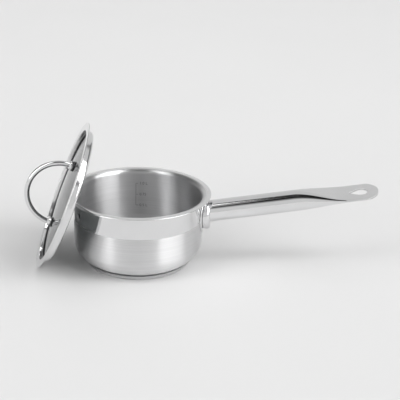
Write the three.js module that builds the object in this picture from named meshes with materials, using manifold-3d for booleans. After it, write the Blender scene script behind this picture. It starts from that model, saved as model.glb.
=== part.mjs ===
// A stainless steel saucepan with a tube handle, and its lid: domed glass in a steel ring with a wire loop.
// Millimetres, +Z up. The origin is the centre of the underside of the base, and the handle points along +X.
// The lid stands on its flange beside the pan and leans on the rim, on the side away from the handle.
import * as THREE from "three";
import { mergeVertices } from "three/addons/utils/BufferGeometryUtils.js";
import Module from "manifold-3d";

// ---- Driving dimensions ----------------------------------------------------------------------------------

// Clearance kept between any two pieces that touch on the real object.
const GAP = 0.3;

// Pan body: one deep-drawn shell.
const BODY_RADIUS = 75; // outside of the straight wall
const BODY_HEIGHT = 84; // floor to the top of the rim
const BODY_SHEET = 1;
const CORNER_RADIUS = 23; // outside, between wall and bottom
const FLARE_RADIUS = 5.2; // inside, where the wall turns out into the rim
const RIM_FLAT = 5.4; // width of the level part of the rim

// Sandwich base: an aluminium core in a steel cap.
const BASE_INSET = 14; // from the outside of the wall to the edge of the base
const CAP_SHEET = 0.6;
const CAP_EDGE_RADIUS = 1.6;
const CORE_THICKNESS = 3.2;

// Handle: a tube whose outer end is pressed flat and pierced for hanging.
const TUBE_DIAMETER = 25;
const TUBE_WALL = 1.2;
const TUBE_INNER_SPACE = 0.3; // left between the two walls where the tube is pressed flat
const HANDLE_SLOPE = THREE.MathUtils.degToRad(9.5);
const HANDLE_ROOT_DROP = 22.4; // from the top of the rim down to the tube's axis where it meets the wall
const HANDLE_TURN = THREE.MathUtils.degToRad(6); // about its own axis, which lifts one edge of the flat end
const HANDLE_LENGTH = 205; // along the axis, from the wall to the tip
const PRESS_START = 106; // distance from the wall where the flattening starts
const PRESS_END = 174; // and where the tube is flat
const HOLE_WIDTH = 16;
const HOLE_LENGTH = 23;
const HOLE_TIP_MARGIN = 12; // metal between the hole and the tip of the handle

// Handle fixing: an oval shield on the wall and a domed ferrule round the root of the tube.
const SHIELD_HALF_WIDTH = 20;
const SHIELD_HALF_HEIGHT = 21.5;
const SHIELD_SHEET = 1.3;
const FERRULE_HALF_WIDTH = 16;
const FERRULE_HALF_HEIGHT = 17;
const FERRULE_DEPTH = 8;
const FIXING_DROP = 3.5; // how far the fixing's middle lies below the tube's axis
const TUBE_INSERTION = 3.5; // how deep the tube enters the ferrule

// Lid ring: a flange, a skirt, and a lip that turns in under the skirt to carry the glass.
const LID_OVERHANG = 3.4; // of the flange beyond the rim
const RING_SHEET = 1;
const SKIRT_OVERSIZE = 0.1; // of the skirt over the start of the level rim, so it centres in the flare
const SKIRT_DEPTH = 10;
const SKIRT_EDGE_RADIUS = 4;
const LIP_WIDTH = 7; // from the outside of the skirt to the inside of the lip
const FLANGE_EDGE_RADIUS = 0.5;

// Domed glass and its seal.
const GLASS_THICKNESS = 3;
const GLASS_MARGIN = 4.5; // width of the flat edge that the seal grips
const DOME_RISE = 5.4; // of the middle of the glass above its flat edge
const GLASS_BEVEL = 0.5;
const SEAL_LIP = 0.8;
const SEAL_WEB = 1.2;
const SEAL_OVERLAP = 1.5; // how far the top lip of the seal covers the glass

// Loop handle and its two fixings through the glass.
const WIRE_DIAMETER = 6;
const LOOP_RADIUS = 37; // of the wire's centre line
const LOOP_SPRING_HEIGHT = 3; // where the arch starts, above the top of the flange
const COLLAR_DIAMETER = 10;
const COLLAR_HEIGHT = 3.5;
const SOFT_WASHER_DIAMETER = 12;
const SOFT_WASHER_THICKNESS = 1;
const STEEL_WASHER_DIAMETER = 11;
const STEEL_WASHER_THICKNESS = 0.8;
const SCREW_DIAMETER = 3.4;
const SCREW_HEAD_DIAMETER = 8;
const SCREW_HEAD_HEIGHT = 2.3;
const SCREW_ENGAGEMENT = 7; // length of the screw inside the wire
const DRIVE_SLOT_WIDTH = 1;
const DRIVE_SLOT_LENGTH = 4.4;
const DRIVE_SLOT_DEPTH = 1.2;

// How the lid stands: the direction that its outer face looks in, and its shift along the rim.
const LEAN_UP = THREE.MathUtils.degToRad(21.3); // of the face, above the horizontal
const LEAN_TURN = THREE.MathUtils.degToRad(7.1); // from -X towards -Y
const LEAN_SHIFT = -1.4;

// How finely round shapes are divided: the number of flat sides that stand for a full circle.
const LARGE_SIDES = 56;
const SMALL_SIDES = 16;
const TUBE_SIDES = 28;
const WIRE_SIDES = 12;
const TUBE_STATIONS = 24; // along the handle
const WIRE_STATIONS = 32; // along the loop
const DOME_RINGS = 6; // from the middle of the glass to its flat edge

// ---- Helpers ---------------------------------------------------------------------------------------------

const wasm = await Module();
wasm.setup();

const v2 = (x, y) => new THREE.Vector2(x, y);
const v3 = (x, y, z) => new THREE.Vector3(x, y, z);

// Points on an arc round (x, y), from angle a to angle b in degrees.
function arc(x, y, radius, a, b, steps) {
  return Array.from({ length: steps + 1 }, (_, i) => {
    const angle = THREE.MathUtils.degToRad(a + ((b - a) * i) / steps);
    return v2(x + radius * Math.cos(angle), y + radius * Math.sin(angle));
  });
}

// A solid of revolution about Z. The profile is a list of (radius, height) points, listed anticlockwise.
// A hollow ring's profile is closed on itself, and any other starts and ends on the axis.
function revolve(profile, { steps = LARGE_SIDES, ring = false } = {}) {
  const points = ring ? [...profile, profile[0]] : profile;
  return new THREE.LatheGeometry(points, steps).rotateX(Math.PI / 2);
}

// A cylinder or a tube about Z, from z0 up to z1.
function drum(radius, z0, z1, { bore = 0, steps = LARGE_SIDES } = {}) {
  if (bore > 0) {
    return revolve([v2(bore, z0), v2(radius, z0), v2(radius, z1), v2(bore, z1)], { steps, ring: true });
  }
  return revolve([v2(0, z0), v2(radius, z0), v2(radius, z1), v2(0, z1)], { steps });
}

// The Manifold solid of a closed geometry, and the geometry of a Manifold solid.
function toSolid(geometry) {
  const bare = new THREE.BufferGeometry();
  bare.setAttribute("position", geometry.getAttribute("position"));
  if (geometry.index) bare.setIndex(geometry.index);
  const merged = mergeVertices(bare, 1e-3);
  const vertProperties = new Float32Array(merged.attributes.position.array);
  const triVerts = new Uint32Array(merged.index.array);
  return new wasm.Manifold(new wasm.Mesh({ numProp: 3, vertProperties, triVerts }));
}

function toGeometry(solid) {
  const mesh = solid.getMesh();
  return new THREE.BufferGeometry()
    .setAttribute("position", new THREE.BufferAttribute(new Float32Array(mesh.vertProperties), 3))
    .setIndex(new THREE.BufferAttribute(new Uint32Array(mesh.triVerts), 1));
}

const cut = (geometry, ...tools) =>
  toGeometry(tools.reduce((solid, tool) => solid.subtract(toSolid(tool)), toSolid(geometry)));
const common = (a, b) => toGeometry(toSolid(a).intersect(toSolid(b)));

// An oval plate or block across X, from x0 to x1, with its edge at x1 rounded off.
function ovalAcrossX(halfWidth, halfHeight, x0, x1, rounding, roundingSteps) {
  const outline = new THREE.Shape();
  outline.absellipse(0, 0, halfWidth - rounding, halfHeight - rounding, 0, 2 * Math.PI);
  const geometry = new THREE.ExtrudeGeometry(outline, {
    depth: x1 - x0 - 2 * rounding,
    curveSegments: SMALL_SIDES,
    bevelEnabled: rounding > 0,
    bevelThickness: rounding,
    bevelSize: rounding,
    bevelSegments: roundingSteps,
  });
  // The outline's own axes are the pan's Y and Z, and the extrusion runs along X.
  const axes = new THREE.Matrix4().makeBasis(v3(0, 1, 0), v3(0, 0, 1), v3(1, 0, 0));
  return geometry.translate(0, 0, rounding).applyMatrix4(axes).translate(x0, 0, 0);
}

function material(color, roughness, metalness, more = {}) {
  return new THREE.MeshStandardMaterial({ color, roughness, metalness, ...more });
}

const polishedSteel = () => material(0xc9c9cb, 0.12, 1);
const brushedSteel = () => material(0xb4b4b6, 0.35, 1);
const castAluminium = () => material(0xa5a7aa, 0.5, 1);
const greySilicone = () => material(0x56585a, 0.7, 0);
const clearGlass = () => material(0xdfe6e4, 0.03, 0, { transparent: true, opacity: 0.35 });

function part(name, geometry, partMaterial) {
  const mesh = new THREE.Mesh(geometry, partMaterial);
  mesh.name = name;
  return mesh;
}

// ---- Pan -------------------------------------------------------------------------------------------------

const CORE_BOTTOM = CAP_SHEET + GAP;
const CORE_TOP = CORE_BOTTOM + CORE_THICKNESS;
const BODY_BOTTOM = CORE_TOP + GAP;
const BASE_RADIUS = BODY_RADIUS - BASE_INSET;
const BODY_BORE = BODY_RADIUS - BODY_SHEET;
const RIM_INNER_RADIUS = BODY_BORE + FLARE_RADIUS;
const RIM_RADIUS = RIM_INNER_RADIUS + RIM_FLAT;

// The drawn shell: bottom, rounded corner, straight wall, and a rim that turns out level.
function panBody() {
  const flareBottom = BODY_HEIGHT - FLARE_RADIUS;
  const cornerCentreR = BODY_RADIUS - CORNER_RADIUS;
  const cornerCentreZ = BODY_BOTTOM + CORNER_RADIUS;
  const edge = BODY_SHEET / 2;
  return revolve([
    v2(0, BODY_BOTTOM),
    ...arc(cornerCentreR, cornerCentreZ, CORNER_RADIUS, -90, 0, 6),
    ...arc(RIM_INNER_RADIUS, flareBottom, FLARE_RADIUS - BODY_SHEET, 180, 90, 3),
    ...arc(RIM_RADIUS - edge, BODY_HEIGHT - edge, edge, -90, 90, 2),
    ...arc(RIM_INNER_RADIUS, flareBottom, FLARE_RADIUS, 90, 180, 4),
    ...arc(cornerCentreR, cornerCentreZ, CORNER_RADIUS - BODY_SHEET, 0, -90, 6),
    v2(0, BODY_BOTTOM + BODY_SHEET),
  ]);
}

// The height of the body's underside at a given radius, out on its rounded corner.
function bodyUnderside(radius) {
  const run = Math.max(0, radius - (BODY_RADIUS - CORNER_RADIUS));
  return BODY_BOTTOM + CORNER_RADIUS - Math.sqrt(CORNER_RADIUS ** 2 - run ** 2);
}

// A shallow steel cap that wraps the core from below.
function baseCap() {
  const lip = Math.min(CORE_TOP, bodyUnderside(BASE_RADIUS) - GAP);
  const inside = BASE_RADIUS - CAP_SHEET;
  const centreR = BASE_RADIUS - CAP_EDGE_RADIUS;
  return revolve([
    v2(0, 0),
    ...arc(centreR, CAP_EDGE_RADIUS, CAP_EDGE_RADIUS, -90, 0, 3),
    v2(BASE_RADIUS, lip),
    v2(inside, lip),
    ...arc(centreR, CAP_EDGE_RADIUS, CAP_EDGE_RADIUS - CAP_SHEET, 0, -90, 2),
    v2(0, CAP_SHEET),
  ]);
}

// The aluminium disc that spreads the heat, chamfered to fit the cap's rounded edge.
function baseCore() {
  const radius = BASE_RADIUS - CAP_SHEET - GAP;
  const chamfer = CAP_EDGE_RADIUS;
  return revolve([
    v2(0, CORE_BOTTOM),
    v2(radius - chamfer, CORE_BOTTOM),
    v2(radius, CORE_BOTTOM + chamfer),
    v2(radius, CORE_TOP),
    v2(0, CORE_TOP),
  ]);
}

// ---- Handle ----------------------------------------------------------------------------------------------

const HANDLE_ROOT_HEIGHT = BODY_HEIGHT - HANDLE_ROOT_DROP;
const SHIELD_INNER = BODY_RADIUS + GAP;
const SHIELD_OUTER = SHIELD_INNER + SHIELD_SHEET;
const FIXING_HEIGHT = HANDLE_ROOT_HEIGHT - FIXING_DROP;
const FERRULE_BACK = SHIELD_OUTER + GAP;
const FERRULE_FRONT = FERRULE_BACK + FERRULE_DEPTH;
const TUBE_START = FERRULE_FRONT - BODY_RADIUS - TUBE_INSERTION;

// An oval plate rolled to the curve of the wall and welded to it.
function handleShield() {
  const shell = drum(SHIELD_OUTER, 0, BODY_HEIGHT, { bore: SHIELD_INNER });
  const across = BODY_RADIUS / 2;
  const block = ovalAcrossX(SHIELD_HALF_WIDTH, SHIELD_HALF_HEIGHT, across, SHIELD_OUTER + across, 0, 1);
  return common(block.translate(0, 0, FIXING_HEIGHT), shell);
}

// A domed boss, hollowed behind to the curve of the shield, with a socket for the tube.
function handleFerrule(toHandleFrame) {
  const rounding = FERRULE_DEPTH / 2;
  const overlap = FERRULE_HALF_WIDTH ** 2 / BODY_RADIUS;
  const block = ovalAcrossX(
    FERRULE_HALF_WIDTH,
    FERRULE_HALF_HEIGHT,
    FERRULE_BACK - overlap - rounding,
    FERRULE_FRONT,
    rounding,
    3,
  );
  const socket = drum(TUBE_DIAMETER / 2 + GAP, TUBE_START - GAP, HANDLE_LENGTH, { steps: TUBE_SIDES });
  socket.rotateY(Math.PI / 2).applyMatrix4(toHandleFrame);
  return cut(block.translate(0, 0, FIXING_HEIGHT), drum(FERRULE_BACK, 0, BODY_HEIGHT), socket);
}

// Where a point of the round tube goes when the tube is pressed to the given half height: the wall's middle
// line becomes two straight runs joined by half circles, and keeps its length.
function pressed(y, z, halfHeight) {
  const middle = (TUBE_DIAMETER - TUBE_WALL) / 2;
  const run = (Math.PI * (middle - halfHeight)) / 2;
  const offset = Math.hypot(y, z) - middle;
  const along = Math.atan2(Math.abs(z), Math.abs(y)) * middle;
  const bend = (halfHeight * Math.PI) / 2;
  const turn = Math.min(along, bend) / halfHeight;
  const straight = Math.max(0, along - bend);
  const outY = run + (halfHeight + offset) * Math.cos(turn) - straight;
  const outZ = (halfHeight + offset) * Math.sin(turn);
  return [Math.sign(y) * outY, Math.sign(z) * outZ];
}

// A drop-shaped hole, round towards the tip and pointed towards the pan.
function hangingHole() {
  const radius = HOLE_WIDTH / 2;
  const centre = HANDLE_LENGTH - HOLE_TIP_MARGIN - radius;
  const point = centre + radius - HOLE_LENGTH;
  const tangent = Math.acos(radius / (centre - point));
  const outline = new THREE.Shape();
  outline.moveTo(point, 0);
  outline.absarc(centre, 0, radius, -Math.PI + tangent, Math.PI - tangent, false);
  outline.closePath();
  const geometry = new THREE.ExtrudeGeometry(outline, { depth: TUBE_DIAMETER, bevelEnabled: false });
  return geometry.translate(0, 0, -TUBE_DIAMETER / 2);
}

// The outline that the flat end is trimmed to: straight sides and a half-round tip.
function handleOutline() {
  const halfWidth = (Math.PI * (TUBE_DIAMETER - TUBE_WALL)) / 4 + TUBE_WALL / 2;
  const outline = new THREE.Shape();
  outline.moveTo(0, -TUBE_DIAMETER);
  outline.lineTo(PRESS_END, -TUBE_DIAMETER);
  outline.lineTo(HANDLE_LENGTH - halfWidth, -halfWidth);
  outline.absarc(HANDLE_LENGTH - halfWidth, 0, halfWidth, -Math.PI / 2, Math.PI / 2, false);
  outline.lineTo(PRESS_END, TUBE_DIAMETER);
  outline.lineTo(0, TUBE_DIAMETER);
  outline.closePath();
  const geometry = new THREE.ExtrudeGeometry(outline, {
    depth: 2 * TUBE_DIAMETER,
    curveSegments: 16,
    bevelEnabled: false,
  });
  return geometry.translate(0, 0, -TUBE_DIAMETER);
}

// The tube along X in the handle's own frame: round at the root, flat at the tip.
function handleTube() {
  const ringShape = new THREE.Shape().absarc(0, 0, TUBE_DIAMETER / 2, 0, 2 * Math.PI, false);
  ringShape.holes.push(new THREE.Path().absarc(0, 0, TUBE_DIAMETER / 2 - TUBE_WALL, 0, 2 * Math.PI, true));
  const tube = new THREE.ExtrudeGeometry(ringShape, {
    depth: HANDLE_LENGTH - TUBE_START,
    steps: TUBE_STATIONS,
    curveSegments: TUBE_SIDES / 2,
    bevelEnabled: false,
  });
  const roundHalf = (TUBE_DIAMETER - TUBE_WALL) / 2;
  const flatHalf = (TUBE_WALL + TUBE_INNER_SPACE) / 2;
  const positions = tube.getAttribute("position");
  for (let i = 0; i < positions.count; i += 1) {
    const x = TUBE_START + positions.getZ(i);
    const s = THREE.MathUtils.smoothstep(x, PRESS_START, PRESS_END);
    const half = THREE.MathUtils.lerp(roundHalf, flatHalf, s);
    const [y, z] = pressed(positions.getX(i), positions.getY(i), half);
    positions.setXYZ(i, x, y, z);
  }
  return cut(common(tube, handleOutline()), hangingHole());
}

// ---- Lid, in its own frame: +Z out of the outer face, +X up the face, z = 0 on top of the flange ---------

const LID_RADIUS = RIM_RADIUS + LID_OVERHANG;
const SKIRT_RADIUS = RIM_INNER_RADIUS + SKIRT_OVERSIZE;
const RING_BORE = SKIRT_RADIUS - RING_SHEET;
const LIP_RADIUS = SKIRT_RADIUS - LIP_WIDTH;
const SEAL_RADIUS = RING_BORE - GAP;
const SEAL_BOTTOM = -SKIRT_DEPTH + RING_SHEET + GAP;
const GLASS_BOTTOM = SEAL_BOTTOM + SEAL_LIP + GAP; // at its flat edge
const GLASS_TOP = GLASS_BOTTOM + GLASS_THICKNESS;
const SEAL_TOP = GLASS_TOP + GAP + SEAL_LIP;
const GLASS_RADIUS = SEAL_RADIUS - SEAL_WEB - GAP;
const DOME_EDGE = GLASS_RADIUS - GLASS_MARGIN;
const DOME_RADIUS = (DOME_EDGE ** 2 + DOME_RISE ** 2) / (2 * DOME_RISE);
const WASHER_BORE = SCREW_DIAMETER / 2 + GAP;

// How far the dome stands above the flat edge of the glass at a given distance from the lid's axis.
const domeHeight = (radius) => Math.sqrt(DOME_RADIUS ** 2 - radius ** 2) - (DOME_RADIUS - DOME_RISE);

// The fixings stand square to the glass, so both feet lean out by the slope of the dome.
const FOOT_RISE = domeHeight(LOOP_RADIUS);
const FOOT_TILT = Math.asin(LOOP_RADIUS / DOME_RADIUS);

// Heights at the feet, less the rise.
const WIRE_END = GLASS_TOP + GAP + SOFT_WASHER_THICKNESS + GAP;

// Flange, skirt and lip, all one sheet.
function lidRing() {
  const e = FLANGE_EDGE_RADIUS;
  const skirtCentreR = SKIRT_RADIUS - SKIRT_EDGE_RADIUS;
  const skirtCentreZ = -SKIRT_DEPTH + SKIRT_EDGE_RADIUS;
  const half = RING_SHEET / 2;
  return revolve(
    [
      ...arc(LIP_RADIUS + half, half - SKIRT_DEPTH, half, 90, 270, 3),
      ...arc(skirtCentreR, skirtCentreZ, SKIRT_EDGE_RADIUS, -90, 0, 4),
      v2(SKIRT_RADIUS, -RING_SHEET),
      ...arc(LID_RADIUS - e, -e, e, -90, 90, 2),
      ...arc(RING_BORE + e, -e, e, 90, 180, 2),
      ...arc(skirtCentreR, skirtCentreZ, SKIRT_EDGE_RADIUS - RING_SHEET, 0, -90, 3),
    ],
    { ring: true },
  );
}

// A channel of soft rubber round the edge of the glass.
function lidSeal() {
  const lipTop = GLASS_RADIUS - SEAL_OVERLAP;
  const lipBottom = LIP_RADIUS;
  const slot = GLASS_RADIUS + GAP;
  const cornerRadius = SKIRT_EDGE_RADIUS - RING_SHEET - GAP;
  return revolve(
    [
      v2(lipBottom, SEAL_BOTTOM),
      ...arc(SEAL_RADIUS - cornerRadius, SEAL_BOTTOM + cornerRadius, cornerRadius, -90, 0, 3),
      v2(SEAL_RADIUS, SEAL_TOP),
      v2(lipTop, SEAL_TOP),
      v2(lipTop, SEAL_TOP - SEAL_LIP),
      v2(slot, SEAL_TOP - SEAL_LIP),
      v2(slot, SEAL_BOTTOM + SEAL_LIP),
      v2(lipBottom, SEAL_BOTTOM + SEAL_LIP),
    ],
    { ring: true },
  );
}

// Calls make(x, tilt) for each foot of the loop, first the upper one.
const atFeet = (make) => [make(LOOP_RADIUS, FOOT_TILT), make(-LOOP_RADIUS, -FOOT_TILT)];

// A shallow dome with a flat bevelled edge and two holes for the loop's screws.
function lidGlass() {
  const rings = Array.from({ length: DOME_RINGS }, (_, i) => (DOME_EDGE * i) / DOME_RINGS);
  const under = rings.map((radius) => v2(radius, GLASS_BOTTOM + domeHeight(radius)));
  const over = rings.map((radius) => v2(radius, GLASS_TOP + domeHeight(radius))).reverse();
  const disc = revolve([
    ...under,
    v2(DOME_EDGE, GLASS_BOTTOM),
    v2(GLASS_RADIUS - GLASS_BEVEL, GLASS_BOTTOM),
    v2(GLASS_RADIUS, GLASS_BOTTOM + GLASS_BEVEL),
    v2(GLASS_RADIUS, GLASS_TOP - GLASS_BEVEL),
    v2(GLASS_RADIUS - GLASS_BEVEL, GLASS_TOP),
    v2(DOME_EDGE, GLASS_TOP),
    ...over,
  ]);
  const radius = SCREW_DIAMETER / 2 + 4 * GAP;
  const holes = atFeet((x) =>
    drum(radius, GLASS_BOTTOM, GLASS_TOP + 2 * DOME_RISE, { steps: SMALL_SIDES }).translate(x, 0, 0),
  );
  return cut(disc, ...holes);
}

// A round wire bent to an arch, bored at both ends for the screws.
function lidLoop() {
  const path = new THREE.CurvePath();
  const end = WIRE_END + FOOT_RISE;
  path.add(new THREE.LineCurve3(v3(LOOP_RADIUS, 0, end), v3(LOOP_RADIUS, 0, LOOP_SPRING_HEIGHT)));
  const arch = arc(0, LOOP_SPRING_HEIGHT, LOOP_RADIUS, 0, 180, 26).map((p) => v3(p.x, 0, p.y));
  arch.slice(1).forEach((point, i) => path.add(new THREE.LineCurve3(arch[i], point)));
  path.add(new THREE.LineCurve3(v3(-LOOP_RADIUS, 0, LOOP_SPRING_HEIGHT), v3(-LOOP_RADIUS, 0, end)));
  const section = new THREE.Shape().absarc(0, 0, WIRE_DIAMETER / 2, 0, 2 * Math.PI, false);
  const wire = new THREE.ExtrudeGeometry(section, {
    steps: WIRE_STATIONS,
    curveSegments: WIRE_SIDES / 2,
    bevelEnabled: false,
    extrudePath: path,
  });
  const depth = WIRE_END + SCREW_ENGAGEMENT + GAP;
  const bores = atFeet((x, tilt) =>
    drum(WASHER_BORE, GLASS_TOP, depth, { steps: WIRE_SIDES }).rotateY(tilt).translate(x, 0, FOOT_RISE),
  );
  return cut(wire, ...bores);
}

// A short steel sleeve round the foot of the wire.
function loopCollar() {
  const bore = WIRE_DIAMETER / 2 + GAP;
  const radius = COLLAR_DIAMETER / 2;
  const top = WIRE_END + COLLAR_HEIGHT;
  const round = (radius - bore) / 2;
  const outside = [v2(radius, WIRE_END), v2(radius, top - round), v2(radius - round, top)];
  return revolve([v2(bore, WIRE_END), ...outside, v2(bore, top)], { steps: SMALL_SIDES, ring: true });
}

function washer(diameter, z0, thickness) {
  return drum(diameter / 2, z0, z0 + thickness, { bore: WASHER_BORE, steps: SMALL_SIDES });
}

const OUTER_WASHER_BOTTOM = GLASS_TOP + GAP;
const INNER_WASHER_BOTTOM = GLASS_BOTTOM - GAP - SOFT_WASHER_THICKNESS;
const STEEL_WASHER_BOTTOM = INNER_WASHER_BOTTOM - GAP - STEEL_WASHER_THICKNESS;
const SCREW_SEAT = STEEL_WASHER_BOTTOM - GAP;

// A domed screw with a cross drive, which goes up through the glass into the wire.
function loopScrew() {
  const radius = SCREW_DIAMETER / 2;
  const headRadius = SCREW_HEAD_DIAMETER / 2;
  const bottom = SCREW_SEAT - SCREW_HEAD_HEIGHT;
  const domeRadius = (headRadius ** 2 + SCREW_HEAD_HEIGHT ** 2) / (2 * SCREW_HEAD_HEIGHT);
  const halfAngle = THREE.MathUtils.radToDeg(Math.asin(headRadius / domeRadius));
  const dome = arc(0, bottom + domeRadius, domeRadius, -90, halfAngle - 90, 4);
  const tip = WIRE_END + SCREW_ENGAGEMENT;
  const screw = revolve(
    [...dome, v2(radius, SCREW_SEAT), v2(radius, tip - radius / 2), v2(radius / 2, tip), v2(0, tip)],
    { steps: SMALL_SIDES },
  );
  const slot = new THREE.BoxGeometry(DRIVE_SLOT_LENGTH, DRIVE_SLOT_WIDTH, 2 * DRIVE_SLOT_DEPTH);
  slot.translate(0, 0, bottom);
  return cut(screw, slot, slot.clone().rotateZ(Math.PI / 2));
}

// ---- Assembly --------------------------------------------------------------------------------------------

// Stands the lid on the floor on the edge of its flange, with the glass against the edge of the rim.
function leanLid(group) {
  const level = v3(-Math.cos(LEAN_TURN), -Math.sin(LEAN_TURN), 0);
  const out = level.clone().multiplyScalar(Math.cos(LEAN_UP)).add(v3(0, 0, Math.sin(LEAN_UP)));
  const along = v3(-Math.sin(LEAN_TURN), Math.cos(LEAN_TURN), 0);
  const up = along.clone().cross(out);
  if (up.z < 0) up.negate();
  const touch = level.clone().multiplyScalar(RIM_RADIUS).add(v3(0, 0, BODY_HEIGHT));
  const standoff = GAP - GLASS_BOTTOM - DOME_RISE;
  const centre = touch.addScaledVector(out, standoff).addScaledVector(along, LEAN_SHIFT);
  const heightOnEdge = LID_RADIUS * up.z + RING_SHEET * out.z;
  centre.addScaledVector(up, (heightOnEdge - centre.z) / up.z);
  const turn = new THREE.Matrix4().makeBasis(up, out.clone().cross(up), out);
  group.position.copy(centre);
  group.quaternion.setFromRotationMatrix(turn);
}

const pan = new THREE.Group();
pan.add(part("pan_body", panBody(), polishedSteel()));
pan.add(part("base_cap", baseCap(), polishedSteel()));
pan.add(part("base_core", baseCore(), castAluminium()));
pan.add(part("handle_shield", handleShield(), polishedSteel()));

const handle = new THREE.Group();
handle.position.set(BODY_RADIUS, 0, HANDLE_ROOT_HEIGHT);
handle.rotation.set(HANDLE_TURN, -HANDLE_SLOPE, 0, "YXZ");
handle.updateMatrix();
handle.add(part("handle_tube", handleTube(), polishedSteel()));
pan.add(part("handle_ferrule", handleFerrule(handle.matrix), polishedSteel()));
pan.add(handle);

const lid = new THREE.Group();
leanLid(lid);
lid.add(part("lid_ring", lidRing(), polishedSteel()));
lid.add(part("lid_seal", lidSeal(), greySilicone()));
lid.add(part("lid_glass", lidGlass(), clearGlass()));
lid.add(part("lid_loop", lidLoop(), polishedSteel()));
atFeet((x, tilt) => {
  const end = x > 0 ? "upper" : "lower";
  const foot = new THREE.Group();
  foot.position.set(x, 0, FOOT_RISE);
  foot.rotation.y = tilt;
  const outerWasher = washer(SOFT_WASHER_DIAMETER, OUTER_WASHER_BOTTOM, SOFT_WASHER_THICKNESS);
  const innerWasher = washer(SOFT_WASHER_DIAMETER, INNER_WASHER_BOTTOM, SOFT_WASHER_THICKNESS);
  const steelWasher = washer(STEEL_WASHER_DIAMETER, STEEL_WASHER_BOTTOM, STEEL_WASHER_THICKNESS);
  foot.add(part("loop_collar_" + end, loopCollar(), polishedSteel()));
  foot.add(part("outer_washer_" + end, outerWasher, greySilicone()));
  foot.add(part("inner_washer_" + end, innerWasher, greySilicone()));
  foot.add(part("steel_washer_" + end, steelWasher, brushedSteel()));
  foot.add(part("loop_screw_" + end, loopScrew(), brushedSteel()));
  lid.add(foot);
});

const saucepan = new THREE.Group();
saucepan.add(pan, lid);

export default saucepan;
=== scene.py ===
# %% [markdown]
# # A saucepan and its glass lid
#
# The pan is one deep-drawn steel shell with a flat sandwich base and a tube handle. The lid is a glass disc in a
# steel ring, with a wire loop, and it stands on its edge and leans on the rim of the pan. The frame already says
# where every piece is and how the lid moves. This lesson makes the smooth, finished piece for each one, gives it
# its steel, glass or rubber, and lights it like a plain product table.

# %% Load the frame
import math

import bmesh
import bpy
from mathutils import Matrix, Vector


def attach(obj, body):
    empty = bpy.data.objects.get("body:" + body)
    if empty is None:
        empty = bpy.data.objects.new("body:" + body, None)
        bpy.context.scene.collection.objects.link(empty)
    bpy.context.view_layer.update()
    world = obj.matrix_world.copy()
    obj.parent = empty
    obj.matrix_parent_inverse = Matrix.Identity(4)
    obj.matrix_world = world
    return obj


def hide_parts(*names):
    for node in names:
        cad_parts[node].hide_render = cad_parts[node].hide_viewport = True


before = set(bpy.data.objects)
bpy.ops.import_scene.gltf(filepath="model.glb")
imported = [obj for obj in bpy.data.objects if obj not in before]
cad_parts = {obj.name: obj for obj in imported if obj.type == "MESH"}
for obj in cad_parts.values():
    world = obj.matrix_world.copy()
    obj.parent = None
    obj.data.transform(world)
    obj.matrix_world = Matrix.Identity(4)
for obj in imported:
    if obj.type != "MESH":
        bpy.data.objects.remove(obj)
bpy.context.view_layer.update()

# %% [markdown]
# ## Sizes
#
# Every length below is in millimetres, as a maker would write it, and is turned into metres only where a vertex is
# made. Radii are measured from the axis of the piece, and heights from the table for the pan or from the top of the
# flange for the lid.

# %% Sizes of the pan
MM = 0.001
BODY_RADIUS, BODY_HEIGHT, BODY_SHEET, CORNER_RADIUS = 75.0, 84.0, 1.0, 23.0
FLARE_RADIUS, RIM_FLAT = 5.2, 5.4
BASE_RADIUS, CAP_SHEET, CAP_EDGE_RADIUS, CORE_THICKNESS, GAP = 61.0, 0.6, 1.6, 3.2, 0.3
CORE_BOTTOM = CAP_SHEET + GAP
CORE_TOP = CORE_BOTTOM + CORE_THICKNESS
BODY_BOTTOM = CORE_TOP + GAP
BORE = BODY_RADIUS - BODY_SHEET
RIM_INNER_RADIUS = BORE + FLARE_RADIUS
RIM_RADIUS = RIM_INNER_RADIUS + RIM_FLAT
print("mouth", 2 * BORE, "mm, rim", 2 * RIM_RADIUS, "mm")

# %% Sizes of the handle and its fixing
TUBE_RADIUS, TUBE_WALL, TUBE_INNER_SPACE = 12.5, 1.2, 0.3
HANDLE_SLOPE, HANDLE_TURN = math.radians(9.5), math.radians(6.0)
HANDLE_ROOT_HEIGHT, HANDLE_LENGTH = 61.6, 205.0
TUBE_START, PRESS_START, PRESS_END = 6.4, 106.0, 174.0
HOLE_RADIUS, HOLE_LENGTH, HOLE_TIP_MARGIN = 8.0, 23.0, 12.0
SHIELD_HALF_WIDTH, SHIELD_HALF_HEIGHT, SHIELD_SHEET = 20.0, 21.5, 1.3
FERRULE_HALF_WIDTH, FERRULE_HALF_HEIGHT, FERRULE_DEPTH = 16.0, 17.0, 8.0
FIXING_HEIGHT = HANDLE_ROOT_HEIGHT - 3.5
print("handle slopes up", round(math.degrees(HANDLE_SLOPE), 1), "degrees over", HANDLE_LENGTH, "mm")

# %% Sizes of the lid
LID_RADIUS, RING_SHEET, SKIRT_RADIUS, SKIRT_DEPTH, SKIRT_EDGE_RADIUS = 88.0, 1.0, 79.3, 10.0, 4.0
LIP_RADIUS, FLANGE_EDGE = 72.3, 0.5
RING_BORE = SKIRT_RADIUS - RING_SHEET
GLASS_TOP, GLASS_BOTTOM, GLASS_RADIUS, GLASS_BEVEL = -4.6, -7.6, 76.5, 0.5
DOME_EDGE, DOME_RISE = 72.0, 5.4
DOME_RADIUS = (DOME_EDGE**2 + DOME_RISE**2) / (2 * DOME_RISE)
SEAL_TOP, SEAL_BOTTOM, SEAL_LIP, SEAL_RADIUS, SEAL_TOP_BORE = -3.5, -8.7, 0.8, 78.0, 75.0
LOOP_RADIUS, WIRE_RADIUS, LOOP_SPRING_HEIGHT, WIRE_END = 37.0, 3.0, 3.0, -3.0
COLLAR_RADIUS, COLLAR_HEIGHT, COLLAR_BORE = 5.0, 3.5, 3.3


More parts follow.
